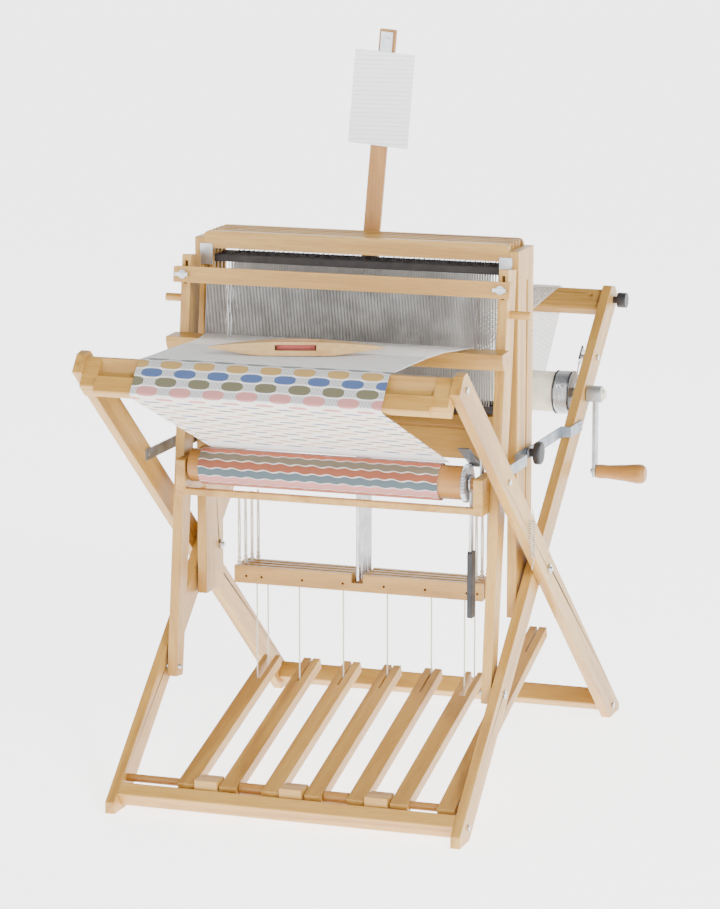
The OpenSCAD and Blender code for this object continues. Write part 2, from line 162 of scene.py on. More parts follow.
# grain is x, y or z; slope turns a grain along y up, in degrees
def wood(tone, grain, slope=0.0):
    key = f"{tone}_{grain}_{round(slope)}"
    if key in woodMade:
        return woodMade[key]
    material, tree, shader = newMaterial("wood_" + key)
    stretch = {"x": (0.07, 1, 1), "y": (1, 0.07, 1), "z": (1, 1, 0.07)}[grain]
    vector = objectCoords(tree, (slope, 0, 0), stretch)
    figure = addNode(tree, "ShaderNodeTexNoise", Scale=26.0, Detail=5.0, Roughness=0.55, Distortion=0.9)
    fibre = addNode(tree, "ShaderNodeTexNoise", Scale=420.0, Detail=3.0, Roughness=0.6)
    patch = addNode(tree, "ShaderNodeTexNoise", Scale=5.0, Detail=2.0)
    for node in (figure, fibre, patch):
        tree.links.new(vector, node.inputs["Vector"])
    dark, middle, light = woodTones[tone]
    base = colourRamp(tree, figure.outputs["Fac"], [(0.30, dark), (0.50, middle), (0.68, light)])
    streak = colourRamp(tree, fibre.outputs["Fac"], [(0.35, (0.80, 0.74, 0.66)), (0.55, (1, 1, 1))])
    cloud = colourRamp(tree, patch.outputs["Fac"], [(0.35, (0.90, 0.87, 0.82)), (0.62, (1, 1, 1))])
    colour = mixColours(tree, "MULTIPLY", 0.55, base, streak)
    colour = mixColours(tree, "MULTIPLY", 0.8, colour, cloud)
    tree.links.new(colour, shader.inputs["Base Color"])
    rough = colourRamp(tree, fibre.outputs["Fac"], [(0.3, (0.52,) * 3), (0.7, (0.36,) * 3)])
    tree.links.new(rough, shader.inputs["Roughness"])
    shader.inputs["Coat Weight"].default_value = 0.18
    shader.inputs["Coat Roughness"].default_value = 0.3
    addBump(tree, shader, fibre.outputs["Fac"], 0.18, 0.0004)
    woodMade[key] = material
    return material


def metal(name, colour, rough, metallic=1.0, grain=900.0, bump=0.08):
    material, tree, shader = newMaterial(name)
    vector = objectCoords(tree)
    fine = addNode(tree, "ShaderNodeTexNoise", Scale=grain, Detail=3.0)
    broad = addNode(tree, "ShaderNodeTexNoise", Scale=40.0, Detail=4.0)
    for node in (fine, broad):
        tree.links.new(vector, node.inputs["Vector"])
    dull = tuple(v * 0.72 for v in colour)
    tree.links.new(colourRamp(tree, broad.outputs["Fac"], [(0.3, dull), (0.65, colour)]),
                   shader.inputs["Base Color"])
    tree.links.new(colourRamp(tree, broad.outputs["Fac"], [(0.3, (rough + 0.14,) * 3), (0.7, (rough,) * 3)]),
                   shader.inputs["Roughness"])
    shader.inputs["Metallic"].default_value = metallic
    addBump(tree, shader, fine.outputs["Fac"], bump, 0.0002)
    return material


steel = metal("steel", (0.60, 0.62, 0.65), 0.26)
strapSteel = metal("strap_steel", (0.33, 0.37, 0.42), 0.34)
castGrey = metal("cast_grey", (0.50, 0.52, 0.54), 0.42, 0.85, 260.0, 0.35)
reedSteel = metal("reed_steel", (0.36, 0.35, 0.34), 0.35)
heddleSteel = metal("heddle_steel", (0.50, 0.49, 0.47), 0.4, 0.75)
darkBar = metal("dark_bar", (0.05, 0.045, 0.045), 0.5, 0.2)
blackPlastic = metal("black_plastic", (0.022, 0.022, 0.025), 0.42, 0.0, 500.0, 0.25)
creamTube = metal("cream_tube", (0.86, 0.81, 0.66), 0.5, 0.0, 300.0, 0.15)


def yarn(name, colour, scale=1400.0):
    material, tree, shader = newMaterial(name)
    vector = objectCoords(tree)
    fibre = addNode(tree, "ShaderNodeTexNoise", Scale=scale, Detail=4.0)
    tree.links.new(vector, fibre.inputs["Vector"])
    shade = tuple(v * 0.78 for v in colour)
    tree.links.new(colourRamp(tree, fibre.outputs["Fac"], [(0.3, shade), (0.65, colour)]),
                   shader.inputs["Base Color"])
    shader.inputs["Roughness"].default_value = 0.85
    shader.inputs["Sheen Weight"].default_value = 0.3
    addBump(tree, shader, fibre.outputs["Fac"], 0.6, 0.0004)
    return material


whiteYarn = yarn("white_yarn", (0.86, 0.85, 0.82))
cordYarn = yarn("cord_yarn", (0.74, 0.70, 0.60))
pinkYarn = yarn("pink_yarn", (0.70, 0.17, 0.16))


clothPattern = {"across": 0.054, "pick": 0.0016, "end": 0.0019, "line": 0.0022, "gap": 0.55, "cellHigh": 0.72,
                "cellTone": (0.12, 0.14, 0.17, 1), "bump": 0.0007}


# rows of ovals, each row half a step off the last, with ribbed cells between them
def wovenCloth(name, palette, ground, pitch, ovalWide, ovalHigh, strength, cells=0.0, wave=0.0):
    material, tree, shader = newMaterial(name)
    uv = tree.nodes.new("ShaderNodeUVMap")
    uv.uv_map = "cut"
    split = tree.nodes.new("ShaderNodeSeparateXYZ")
    tree.links.new(uv.outputs[0], split.inputs[0])
    across, along = split.outputs[0], split.outputs[1]
    ripple = mathNode(tree, "SINE", mathNode(tree, "MULTIPLY", across, 4 * math.pi / clothPattern["across"]))
    level = mathNode(tree, "ADD", along, mathNode(tree, "MULTIPLY", ripple, wave))
    rows = mathNode(tree, "DIVIDE", level, pitch)
    rowIndex = mathNode(tree, "FLOOR", rows)
    columns = mathNode(tree, "ADD", mathNode(tree, "DIVIDE", across, clothPattern["across"]),
                       mathNode(tree, "MULTIPLY", rowIndex, 0.5))
    sideways = mathNode(tree, "SUBTRACT", mathNode(tree, "FRACT", columns), 0.5)
    upward = mathNode(tree, "SUBTRACT", mathNode(tree, "FRACT", rows), 0.5)
    dx = mathNode(tree, "DIVIDE", sideways, ovalWide)
    dy = mathNode(tree, "DIVIDE", upward, ovalHigh)
    high = mathNode(tree, "ABSOLUTE", dy)
    radius = mathNode(tree, "ADD", mathNode(tree, "POWER", mathNode(tree, "ABSOLUTE", dx), 3.0),
                      mathNode(tree, "POWER", high, 2.4))
    inside = mathNode(tree, "LESS_THAN", radius, 1.0)
    rowMiddle = mathNode(tree, "ADD", rowIndex, 0.5)
    order = mathNode(tree, "FRACT", mathNode(tree, "DIVIDE", rowMiddle, len(palette)))
    tone = colourRamp(tree, order, [(k / len(palette), colour) for k, colour in enumerate(palette)], True)
    pick = mathNode(tree, "SINE", mathNode(tree, "MULTIPLY", along, 2 * math.pi / clothPattern["pick"]))
    end = mathNode(tree, "SINE", mathNode(tree, "MULTIPLY", across, 2 * math.pi / clothPattern["end"]))
    weave = mathNode(tree, "MULTIPLY", mathNode(tree, "MULTIPLY", pick, end), 0.25)
    thread = mathNode(tree, "ADD", weave, 0.5)
    lines = mathNode(tree, "FRACT", mathNode(tree, "DIVIDE", across, clothPattern["line"]))
    rib = mathNode(tree, "GREATER_THAN", lines, clothPattern["gap"])
    cell = mathNode(tree, "MULTIPLY", mathNode(tree, "LESS_THAN", high, clothPattern["cellHigh"]), rib)
    ribbed = mathNode(tree, "MULTIPLY", cell, cells)
    base = mixColours(tree, "MIX", ribbed, (*ground, 1), clothPattern["cellTone"])
    colour = mixColours(tree, "MIX", mathNode(tree, "MULTIPLY", inside, strength), base, tone)
    # painted shade: colour is darkened at the low places of the weave, where the threads dip, following the
    # same relief as the bump
    shade = colourRamp(tree, thread, [(0.2, (0.74, 0.74, 0.74)), (0.6, (1, 1, 1))])
    tree.links.new(mixColours(tree, "MULTIPLY", 0.8, colour, shade), shader.inputs["Base Color"])
    shader.inputs["Roughness"].default_value = 0.88
    shader.inputs["Sheen Weight"].default_value = 0.25
    height = mathNode(tree, "ADD", thread, mathNode(tree, "MULTIPLY", inside, 0.8))
    addBump(tree, shader, height, 0.7, clothPattern["bump"])
    return material


greyGreen, honey, denim = (0.10, 0.15, 0.12), (0.46, 0.27, 0.05), (0.03, 0.08, 0.25)
olive, rose, rust = (0.11, 0.10, 0.04), (0.55, 0.22, 0.20), (0.24, 0.055, 0.015)
teal, taupe, orange = (0.06, 0.10, 0.12), (0.13, 0.10, 0.055), (0.50, 0.10, 0.02)
plainCloth = wovenCloth("plain_cloth", [rose, (0.7, 0.7, 0.7), (0.7, 0.7, 0.7)], (0.80, 0.80, 0.79),
                        0.04, 0.24, 0.06, 0.35)
ovalCloth = wovenCloth("oval_cloth", [greyGreen, honey, denim, olive, rose], (0.80, 0.79, 0.77),
                       0.0165, 0.32, 0.50, 0.95, 1.0)
dashCloth = wovenCloth("dash_cloth", [rust, teal, honey, rose, denim], (0.80, 0.73, 0.65),
                       0.019, 0.27, 0.24, 0.97)
rollCloth = wovenCloth("roll_cloth", [orange, taupe, rust, teal, rose], (0.60, 0.56, 0.54),
                       0.0135, 0.64, 0.46, 0.97, 0.2, 0.0011)


# blank ruled sheet: lines only
def notePaper():
    material, tree, shader = newMaterial("ruled_paper")
    vector = objectCoords(tree)
    split = tree.nodes.new("ShaderNodeSeparateXYZ")
    tree.links.new(vector, split.inputs[0])
    line = mathNode(tree, "FRACT", mathNode(tree, "DIVIDE", split.outputs[2], 0.0071))
    ruled = mathNode(tree, "LESS_THAN", line, 0.10)
    tree.links.new(mixColours(tree, "MIX", ruled, (0.86, 0.87, 0.87, 1), (0.50, 0.56, 0.64, 1)),
                   shader.inputs["Base Color"])
    fibre = addNode(tree, "ShaderNodeTexNoise", Scale=700.0, Detail=3.0)
    tree.links.new(vector, fibre.inputs["Vector"])
    shader.inputs["Roughness"].default_value = 0.8
    addBump(tree, shader, fibre.outputs["Fac"], 0.15, 0.0002)
    return material


paper = notePaper()
print("materials made")


# modelling helpers

def deselectAll():
    bpy.ops.object.select_all(action="DESELECT")


def applyPlace(piece):
    deselectAll()
    piece.select_set(True)
    bpy.context.view_layer.objects.active = piece
    bpy.ops.object.transform_apply(location=True, rotation=True, scale=True)


def applyModifiers(piece):
    deselectAll()
    piece.select_set(True)
    bpy.context.view_layer.objects.active = piece
    for modifier in list(piece.modifiers):
        bpy.ops.object.modifier_apply(modifier=modifier.name)


def bevelledBlock(name, low, high, material, edge=0.001):
    deselectAll()
    middle = [(a + b) / 2 for a, b in zip(low, high)]
    bpy.ops.mesh.primitive_cube_add(size=1, location=middle)
    piece = bpy.context.object
    piece.name = name
    piece.scale = [b - a for a, b in zip(low, high)]
    applyPlace(piece)
    if edge:
        bpy.ops.object.mode_set(mode="EDIT")
        bpy.ops.mesh.select_all(action="SELECT")
        bpy.ops.mesh.bevel(offset=edge, segments=2, affect="EDGES")
        bpy.ops.object.mode_set(mode="OBJECT")
    piece.data.materials.append(material)
    return piece


def roundBar(name, start, end, radius, material, sides=20, edge=0.0):
    deselectAll()
    first, last = Vector(start), Vector(end)
    way = last - first
    bpy.ops.mesh.primitive_cylinder_add(vertices=sides, radius=radius, depth=way.length,
                                        location=(first + last) / 2,
                                        rotation=way.to_track_quat("Z", "Y").to_euler())
    piece = bpy.context.object
    piece.name = name
    applyPlace(piece)
    if edge:
        bevel = piece.modifiers.new("edge", "BEVEL")
        bevel.width = edge
        bevel.segments = 2
        bevel.limit_method = "ANGLE"
        applyModifiers(piece)
    bpy.ops.object.shade_smooth_by_angle(angle=math.radians(40))
    piece.data.materials.append(material)
    return piece


def rowOf(piece, step, count):
    repeat = piece.modifiers.new("row", "ARRAY")
    repeat.use_relative_offset = False
    repeat.use_constant_offset = True
    repeat.constant_offset_displace = step
    repeat.count = count
    applyModifiers(piece)
    return piece


def joined(name, pieces):
    deselectAll()
    for piece in pieces:
        piece.select_set(True)
    bpy.context.view_layer.objects.active = pieces[0]
    bpy.ops.object.join()
    pieces[0].name = name
    return pieces[0]


# round cord along a list of points, made a closed mesh
def tube(name, points, radius, material, sides=8):
    curve = bpy.data.curves.new(name, "CURVE")
    curve.dimensions = "3D"
    curve.bevel_depth = radius
    curve.bevel_resolution = max(0, sides // 2 - 2)
    curve.use_fill_caps = True
    spline = curve.splines.new("POLY")
    spline.points.add(len(points) - 1)
    for target, point in zip(spline.points, points):
        target.co = (*point, 1)
    piece = bpy.data.objects.new(name, curve)
    bpy.context.collection.objects.link(piece)
    deselectAll()
    piece.select_set(True)
    bpy.context.view_layer.objects.active = piece
    bpy.ops.object.convert(target="MESH")
    piece = bpy.context.object
    piece.name = name
    bpy.ops.object.shade_smooth()
    piece.data.materials.clear()
    piece.data.materials.append(material)
    return piece


# sheet along a path of (y, z) points; its map is in metres along the cut
def clothSheet(name, path, left, right, columns, thickness, material, wobble=0.0):
    lengths = [0.0]
    for a, b in zip(path, path[1:]):
        lengths.append(lengths[-1] + math.dist(a, b))
    verts, faces, cut = [], [], []
    for (y, z), length in zip(path, lengths):
        for k in range(columns + 1):
            share = k / columns
            x = left + (right - left) * share
            rise = wobble * math.sin(37 * length + 9 * share) * math.sin(math.pi * share)
            side = wobble * 0.8 * math.sin(61 * length) if k in (0, columns) else 0.0
            verts.append((x + side, y, z + rise))
            cut.append((share * (right - left), length))
    row = columns + 1
    for i in range(len(path) - 1):
        for k in range(columns):
            a = i * row + k
            faces.append((a, a + 1, a + row + 1, a + row))
    mesh = bpy.data.meshes.new(name)
    mesh.from_pydata(verts, [], faces)
    layer = mesh.uv_layers.new(name="cut")
    for loop in mesh.loops:
        layer.data[loop.index].uv = cut[loop.vertex_index]
    piece = bpy.data.objects.new(name, mesh)
    bpy.context.collection.objects.link(piece)
    mesh.materials.append(material)
    wall = piece.modifiers.new("wall", "SOLIDIFY")
    wall.thickness = thickness
    wall.offset = 0
    applyModifiers(piece)
    bpy.ops.object.mode_set(mode="EDIT")
    bpy.ops.mesh.select_all(action="SELECT")
    bpy.ops.mesh.normals_make_consistent(inside=False)
    bpy.ops.object.mode_set(mode="OBJECT")
    bpy.ops.object.shade_smooth_by_angle(angle=math.radians(50))
    return piece, lengths[-1]


def finer(path, longest=0.012):
    out = [path[0]]
    for a, b in zip(path, path[1:]):
        steps = max(1, math.ceil(math.dist(a, b) / longest))
        out += [(a[0] + (b[0] - a[0]) * k / steps, a[1] + (b[1] - a[1]) * k / steps)
                for k in range(1, steps + 1)]
    return out


# CAD nodes that keep their shape

finishes = {
    "castle_posts": wood("maple", "z"), "castle_braces": wood("maple", "x"),
    "beam_brackets": wood("maple", "y"),
    "draft_stick": wood("oiled", "z"), "inner_legs": wood("maple", "y", loom["innerSlope"]),
    "outer_legs": wood("maple", "y", -loom["outerSlope"]), "front_rail": wood("maple", "x"),
    "back_beam": wood("maple", "x"), "back_rail": wood("maple", "x"), "breast_beam": wood("maple", "x"),
    "beater_uprights": wood("maple", "z"), "beater_cap": wood("maple", "x"),
    "beater_sley": wood("maple", "x"),
    "treadle_rod": wood("oiled", "x"), "cloth_beam": wood("oiled", "x"), "crank_handle": wood("oiled", "x"),
    "brake_treadle": wood("maple", "y", 18.9), "shuttle": wood("shuttle", "x"), "warp_beam": creamTube,
    "castle_hardware": steel, "stick_clip": steel, "outer_leg_bolts": steel, "inner_leg_hardware": steel,
    "rear_struts": strapSteel, "front_struts": strapSteel, "ratchet": steel, "pawl": strapSteel,
    "advance_lever": steel, "brake_drum": steel, "crank_arm": castGrey, "beater_hardware": steel,
    "brake_cable": steel, "strut_knobs": blackPlastic, "note_paper": paper,
}
bevelFree = {f"lamm_{k}" for k in range(1, 5)} | {"note_paper"}  # their small holes spoil a bevel
for number in range(1, 7):
    finishes[f"treadle_{number}"] = wood("maple", "y", 16)
for number in range(1, 5):
    finishes[f"lamm_{number}"] = wood("maple", "x")
softEdge = {"wood": 0.0014, "other": 0.0004}
for name, material in finishes.items():
    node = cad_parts[name]
    node.data.materials.clear()
    node.data.materials.append(material)
    for face in node.data.polygons:
        face.material_index = 0
    if name in bevelFree:
        continue
    weld = node.modifiers.new("weld", "WELD")
    weld.merge_threshold = 0.00002
    bevel = node.modifiers.new("edge", "BEVEL")
    bevel.limit_method = "ANGLE"
    bevel.angle_limit = math.radians(40)
    bevel.width = softEdge["wood" if material.name.startswith("wood") else "other"]
    bevel.segments = 2
    bevel.use_clamp_overlap = True


# faces of one node that are another material, chosen by the place of their middle
def paintFaces(name, material, chosen):
    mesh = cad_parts[name].data
    mesh.materials.append(material)
    for face in mesh.polygons:
        if chosen(face.center):
            face.material_index = len(mesh.materials) - 1


beamY, beamZ = innerPoint(0.368, 0)
beamBase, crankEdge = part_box("back_beam")[0][2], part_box("crank_handle")[0][0]
paint = {"gripTop": 0.4125, "knobDrop": 0.02, "pegTop": 0.805, "drumFlange": 0.0345, "handlePin": 0.009}
paintFaces("advance_lever", blackPlastic, lambda at: at[2] < paint["gripTop"])
paintFaces("inner_leg_hardware", blackPlastic, lambda at: at[2] > beamBase - paint["knobDrop"])
paintFaces("beater_hardware", wood("maple", "x"), lambda at: at[2] < paint["pegTop"])
paintFaces("brake_drum", blackPlastic,
           lambda at: math.hypot(at[1] - beamY, at[2] - beamZ) > paint["drumFlange"])
paintFaces("crank_handle", steel, lambda at: at[0] < crankEdge + paint["handlePin"])
print("frame finished")


# camera, floor and light

camera = {"place": (1.88643, -5.60728, 1.70353), "azimuth": 18.95, "elevation": 11.36,
          "lens": 146.46, "shift": (-0.00257, 0.00823)}
deselectAll()
bpy.ops.object.camera_add(location=camera["place"],
                          rotation=(math.radians(90 - camera["elevation"]), 0,
                                    math.radians(camera["azimuth"])))
eye = bpy.context.object
eye.data.lens = camera["lens"]
eye.data.sensor_width = 36
eye.data.shift_x, eye.data.shift_y = camera["shift"]
eye.data.clip_end = 60
bpy.context.scene.camera = eye

stage = {"size": 140.0, "colour": (0.93, 0.93, 0.93, 1), "glow": 3.2, "horizon": 4.2}
deselectAll()
bpy.ops.mesh.primitive_plane_add(size=stage["size"], location=(0, 0, -0.0005))
floor = bpy.context.object
floor.name = "floor"
floorMaterial, floorTree, floorShader = newMaterial("pale_floor")
floorShader.inputs["Base Color"].default_value = stage["colour"]
floorShader.inputs["Roughness"].default_value = 0.7
floorShader.inputs["Emission Color"].default_value = (1, 1, 1, 1)
floorShader.inputs["Emission Strength"].default_value = stage["glow"]
floor.data.materials.append(floorMaterial)

lamps = {"key": ((3.0, -2.6, 3.2), 0.9, 150), "fill": ((-3.4, -1.8, 2.6), 3.2, 15),
         "back": ((0.4, 3.0, 3.4), 2.6, 40)}
for place, size, power in lamps.values():
    deselectAll()
    bpy.ops.object.light_add(type="AREA", location=place)
    lamp = bpy.context.object
    lamp.data.size = size
    lamp.data.energy = power
    lamp.rotation_euler = (Vector((0, 0, 0.5)) - Vector(place)).to_track_quat("-Z", "Y").to_euler()
world = bpy.data.worlds.new("studio")
world.use_nodes = True
sky = world.node_tree
heading = sky.nodes.new("ShaderNodeTexCoord")
parted = sky.nodes.new("ShaderNodeSeparateXYZ")
sky.links.new(heading.outputs["Generated"], parted.inputs[0])
glow = colourRamp(sky, parted.outputs[2], [(0.22, (1, 1, 1)), (0.42, (0.05, 0.05, 0.05))])
sky.links.new(glow, sky.nodes["Background"].inputs[0])
sky.nodes["Background"].inputs[1].default_value = stage["horizon"]
bpy.context.scene.world = world
print("stage set")


# shafts: bars, stiles, heddle bars, wire heddles and centre rod

shaftWork = {"barEdge": 0.0015, "heddles": 104, "reach": 0.222, "wire": 0.0007, "half": 0.004, "topBar": 0.027,
             "lowBar": (0.588, 0.606), "stile": 0.251, "heddleBars": (0.616, 0.842), "heddleBar": 0.247,
             "wires": (0.6195, 0.7305), "wireLong": 0.105, "eye": (0.7225, 0.7325), "tipBase": 0.846,
             "tips": (0.8485, 0.8535), "rodLow": 0.319, "rodRadius": 0.0032, "rodStep": 0.0012}


def makeShaft(number):
    low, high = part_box(f"shaft_{number}")
    y = (low[1] + high[1]) / 2
    top = high[2]
    x0, x1 = low[0], high[0]
    timber, upright = wood("maple", "x"), wood("maple", "z")
    half, edge = shaftWork["half"], shaftWork["barEdge"]
    topLow = top - shaftWork["topBar"]
    lowBar, lowTop = shaftWork["lowBar"]
    parts = [
        bevelledBlock("bar", (x0, y - half, topLow), (x1, y + half, top), timber, edge),
        bevelledBlock("bar", (x0 + 0.002, y - half, lowBar), (x1 - 0.002, y + half, lowTop), timber, edge),
    ]
    for side in (-1, 1):
        x = rowX + side * shaftWork["stile"]
        parts.append(bevelledBlock("stile", (x - half, y - half, lowTop), (x + half, y + half, topLow),
                                   upright))
    reach = shaftWork["heddleBar"]
    for z in shaftWork["heddleBars"]:
        parts.append(bevelledBlock("bar", (rowX - reach, y - 0.0015, z - 0.006),
                                   (rowX + reach, y + 0.0015, z + 0.006), darkBar, 0.0004))
    random.seed(number)
    step = 2 * shaftWork["reach"] / (shaftWork["heddles"] - 1)
    first = rowX - shaftWork["reach"]
    wire = shaftWork["wire"]
    for base in shaftWork["wires"]:
        strand = bevelledBlock("wire", (first - wire, y - wire, base),
                               (first + wire, y + wire, base + shaftWork["wireLong"]), heddleSteel, 0)
        parts.append(rowOf(strand, (step, 0, 0), shaftWork["heddles"]))
    eyeLow, eyeHigh = shaftWork["eye"]
    eyelet = bevelledBlock("eye", (first - 0.0011, y - 0.0012, eyeLow), (first + 0.0011, y + 0.0012, eyeHigh),
                           heddleSteel, 0.0003)
    parts.append(rowOf(eyelet, (step, 0, 0), shaftWork["heddles"]))
    for part in range(4):
        tip = random.uniform(*shaftWork["tips"])
        strand = bevelledBlock("tip", (first + step * part - wire, y - wire, shaftWork["tipBase"]),
                               (first + step * part + wire, y + wire, tip), darkBar, 0)
        parts.append(rowOf(strand, (step * 4, 0, 0), shaftWork["heddles"] // 4))
    x = rowX + 0.002 + (number - 2.5) * shaftWork["rodStep"]
    parts.append(roundBar("rod", (x, y, shaftWork["rodLow"]), (x, y, lowBar), shaftWork["rodRadius"], steel,
                          16))
    piece = joined(f"shaftFrame_{number}", parts)
    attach(piece, f"shaft_{number}")
    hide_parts(f"shaft_{number}")


for number in range(1, 5):
    makeShaft(number)
print("shafts made")


# reed: two ribs and its dents

reedWork = {"length": 0.470, "dents": 186, "low": 0.5372, "high": 0.6336, "rib": 0.007, "middle": -0.0122,
            "margin": 0.006}


def makeReed():
    half = reedWork["length"] / 2
    mid, low, high = reedWork["middle"], reedWork["low"], reedWork["high"]
    parts = []
    for a, b in ((low, low + reedWork["rib"]), (high - reedWork["rib"], high)):
        parts.append(bevelledBlock("rib", (rowX - half, mid - 0.002, a), (rowX + half, mid + 0.002, b), darkBar,
                                   0.0005))
    margin = reedWork["margin"]
    start = rowX - half + margin
    dent = bevelledBlock("dent", (start - 0.0004, mid - 0.0018, low + margin),
                         (start + 0.0004, mid + 0.0018, high - margin), reedSteel, 0)
    pitch = (reedWork["length"] - 2 * margin) / (reedWork["dents"] - 1)
    parts.append(rowOf(dent, (pitch, 0, 0), reedWork["dents"]))
    piece = joined("reedDents", parts)
    for vertex in piece.data.vertices:
        y, z = beaterPoint(vertex.co[1], vertex.co[2])
        vertex.co = (vertex.co[0], y, z)
    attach(piece, "beater")
    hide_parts("reed")


makeReed()
print("reed made")


# warp in threads, front, back and down to the warp beam

warpWork = {"ends": 200, "thread": 0.00062, "clothLeft": -0.208, "clothWidth": 0.404}


# side by side threads along a route of (y, z) points
def threadBand(name, route, spreads, lift=0.0):
    verts, faces = [], []
    count = warpWork["ends"]
    r = warpWork["thread"]
    for k in range(count):
        share = k / (count - 1)
        base = len(verts)
        offset = lift if k % 2 else -lift
        for (y, z), (left, right) in zip(route, spreads):
            x = left + (right - left) * share
            for dx, dz in ((-r, 0), (0, -r), (r, 0), (0, r)):
                verts.append((x + dx, y, z + dz + offset))
        n = len(route)
        for i in range(n - 1):
            for j in range(4):
                a, b = base + i * 4 + j, base + i * 4 + (j + 1) % 4
                faces.append((a, b, b + 4, a + 4))
        faces.append(tuple(base + j for j in (3, 2, 1, 0)))
        faces.append(tuple(base + (n - 1) * 4 + j for j in range(4)))
    mesh = bpy.data.meshes.new(name)
    mesh.from_pydata(verts, [], faces)
    piece = bpy.data.objects.new(name, mesh)
    bpy.context.collection.objects.link(piece)
    mesh.materials.append(whiteYarn)
    deselectAll()
    piece.select_set(True)
    bpy.context.view_layer.objects.active = piece
    bpy.ops.object.mode_set(mode="EDIT")
    bpy.ops.mesh.select_all(action="SELECT")
    bpy.ops.mesh.normals_make_consistent(inside=False)
    bpy.ops.object.mode_set(mode="OBJECT")
    bpy.ops.object.shade_smooth()
    return piece


left = rowX + warpWork["clothLeft"]
right = left + warpWork["clothWidth"]
reedSpan = (rowX - 0.225, rowX + 0.225)
fellY = -0.262  # where the cloth starts
fellZ = 0.7385
front = threadBand("warpThreadsFront", [(-0.124, 0.733), (-0.19, 0.7356), (fellY, fellZ)],
                   [reedSpan, (left - 0.003, right + 0.004), (left, right)], 0.0003)
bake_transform(front)
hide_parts("warp_front")

backSpan = (rowX - 0.202, rowX + 0.202)
back = threadBand("warpThreadsBack", [(0.046, 0.7284), (0.2, 0.736), (0.459, 0.7484)],
                  [reedSpan, (rowX - 0.215, rowX + 0.215), backSpan], 0.0003)
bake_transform(back)
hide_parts("warp_back")

wbY, wbZ = innerPoint(0.368, 0)
tailRoute = [innerPoint(0.590, 0.0125), innerPoint(0.5935, 0.009), innerPoint(0.5935, -0.011),
             innerPoint(0.368, -0.0352)]
tail = threadBand("warpThreadsTail", tailRoute, [backSpan] * 4, 0.0002)
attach(tail, "inner_frame")
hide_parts("warp_tail")
print("warp made")


# woven web over the breast beam and down to the roll

webWork = {"thick": 0.0009, "columns": 60, "wobble": 0.0005, "bend": 0.0038, "ovals": 0.165,
           "dashes": 0.2475, "whiteEnd": 0.045}
nose = [outerPoint(-0.595 + 0.0156 * math.cos(math.radians(a)), 0.0152 * math.sin(math.radians(a)))
        for a in range(130, 161, 10)]


def turnRound(across, start, stop, step):
    y, z = outerPoint(across, -0.052)
    bend = webWork["bend"]
    return [(y + bend * math.cos(math.radians(t)), z + bend * math.sin(math.radians(t)))
            for t in range(start, stop, step)]


corner = turnRound(-0.610, 141, 232, 18) + turnRound(-0.602, 233, 248, 7)
rollPlace = (-0.148, 0.521)  # axis of the cloth beam
webPath = finer([(fellY, fellZ + 0.0004)] + nose + [outerPoint(-0.6138, -0.022)] + corner
                + [(rollPlace[0], 0.5526)])
web, webLength = clothSheet("wovenWeb", webPath, left, right, webWork["columns"], webWork["thick"],
                            plainCloth, webWork["wobble"])
web.data.materials.append(ovalCloth)
web.data.materials.append(dashCloth)
cut = web.data.uv_layers["cut"].data
for face in web.data.polygons:
    place = sum(cut[loop].uv[1] for loop in face.loop_indices) / face.loop_total
    if webWork["ovals"] < place < webWork["dashes"]:
        face.material_index = 1
    elif webWork["dashes"] <= place < webLength - webWork["whiteEnd"]:
        face.material_index = 2
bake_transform(web)
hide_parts("cloth_web")

rollWork = {"turns": 3, "inner": 0.0274, "outer": 0.0306, "thick": 0.0007}
rollLow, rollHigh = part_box("cloth_roll")
spiral = []
for k in range(rollWork["turns"] * 48 + 1):
    a = 2 * math.pi * k / 48
    r = rollWork["inner"] + (rollWork["outer"] - 0.0004 - rollWork["inner"]) * k / (rollWork["turns"] * 48)
    spiral.append((rollPlace[0] + r * math.cos(a), rollPlace[1] + r * math.sin(a)))
roll, rollLength = clothSheet("woundCloth", spiral, rollLow[0], rollHigh[0], 48, rollWork["thick"],
                              rollCloth)
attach(roll, "cloth_beam")
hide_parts("cloth_roll")
print("cloth made", round(webLength, 3), round(rollLength, 3))


# cords of the tie-up, with knots

tieWork = {"radius": 0.0013, "knot": 0.003, "pitch": 0.071, "first": -0.173, "upper": 0.205, "lower": 0.178}
rodPlace = (-0.344, 0.046)


def underTreadle(y):
    a = math.radians(16)
    return rodPlace[1] + (y - rodPlace[0]) * math.tan(a) - 0.009 / math.cos(a)


def knot(name, x, y, z, size, material):
    deselectAll()
    bpy.ops.mesh.primitive_torus_add(major_radius=size * 0.6, minor_radius=size * 0.42, major_segments=16,
                                     minor_segments=8, location=(x, y, z), rotation=(0.5, 0.3, 0))
    first = bpy.context.object
    applyPlace(first)
    first.data.materials.append(material)
    deselectAll()
    bpy.ops.mesh.primitive_torus_add(major_radius=size * 0.5, minor_radius=size * 0.4, major_segments=16,
                                     minor_segments=8, location=(x, y, z - size * 0.3),
                                     rotation=(-0.9, 0.4, 0.7))
    second = bpy.context.object
    applyPlace(second)
    second.data.materials.append(material)
    piece = joined(name, [first, second])
    bpy.ops.object.shade_smooth()
    return piece


def shaftY(number):
    return (number - 2.5) * loom["shaftPitch"]


# a tie cord crosses three joints, so it is made in three lengths that meet
ties = []
for number in range(1, 5):
    x = rowX + tieWork["first"] + number * tieWork["pitch"]
    ties.append({"lamm": number, "treadle": number + 1, "x": x, "top": 0.302})
    end = 0 if number in (1, 3) else 5
    x = rowX + tieWork["first"] + end * tieWork["pitch"] + (-0.0035 if number < 3 else 0.0035)
    ties.append({"lamm": number, "treadle": end + 1, "x": x, "top": 0.3005})


def cordLength(tie, low, high):
    y = shaftY(tie["lamm"])
    steps = [(tie["x"], y, low + (high - low) * k / 6) for k in range(7)]
    return tube("cord", steps, tieWork["radius"], cordYarn)


def tiePiece(name, parts, nodes):
    piece = joined(name, parts)
    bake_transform(piece)
    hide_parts(*nodes)


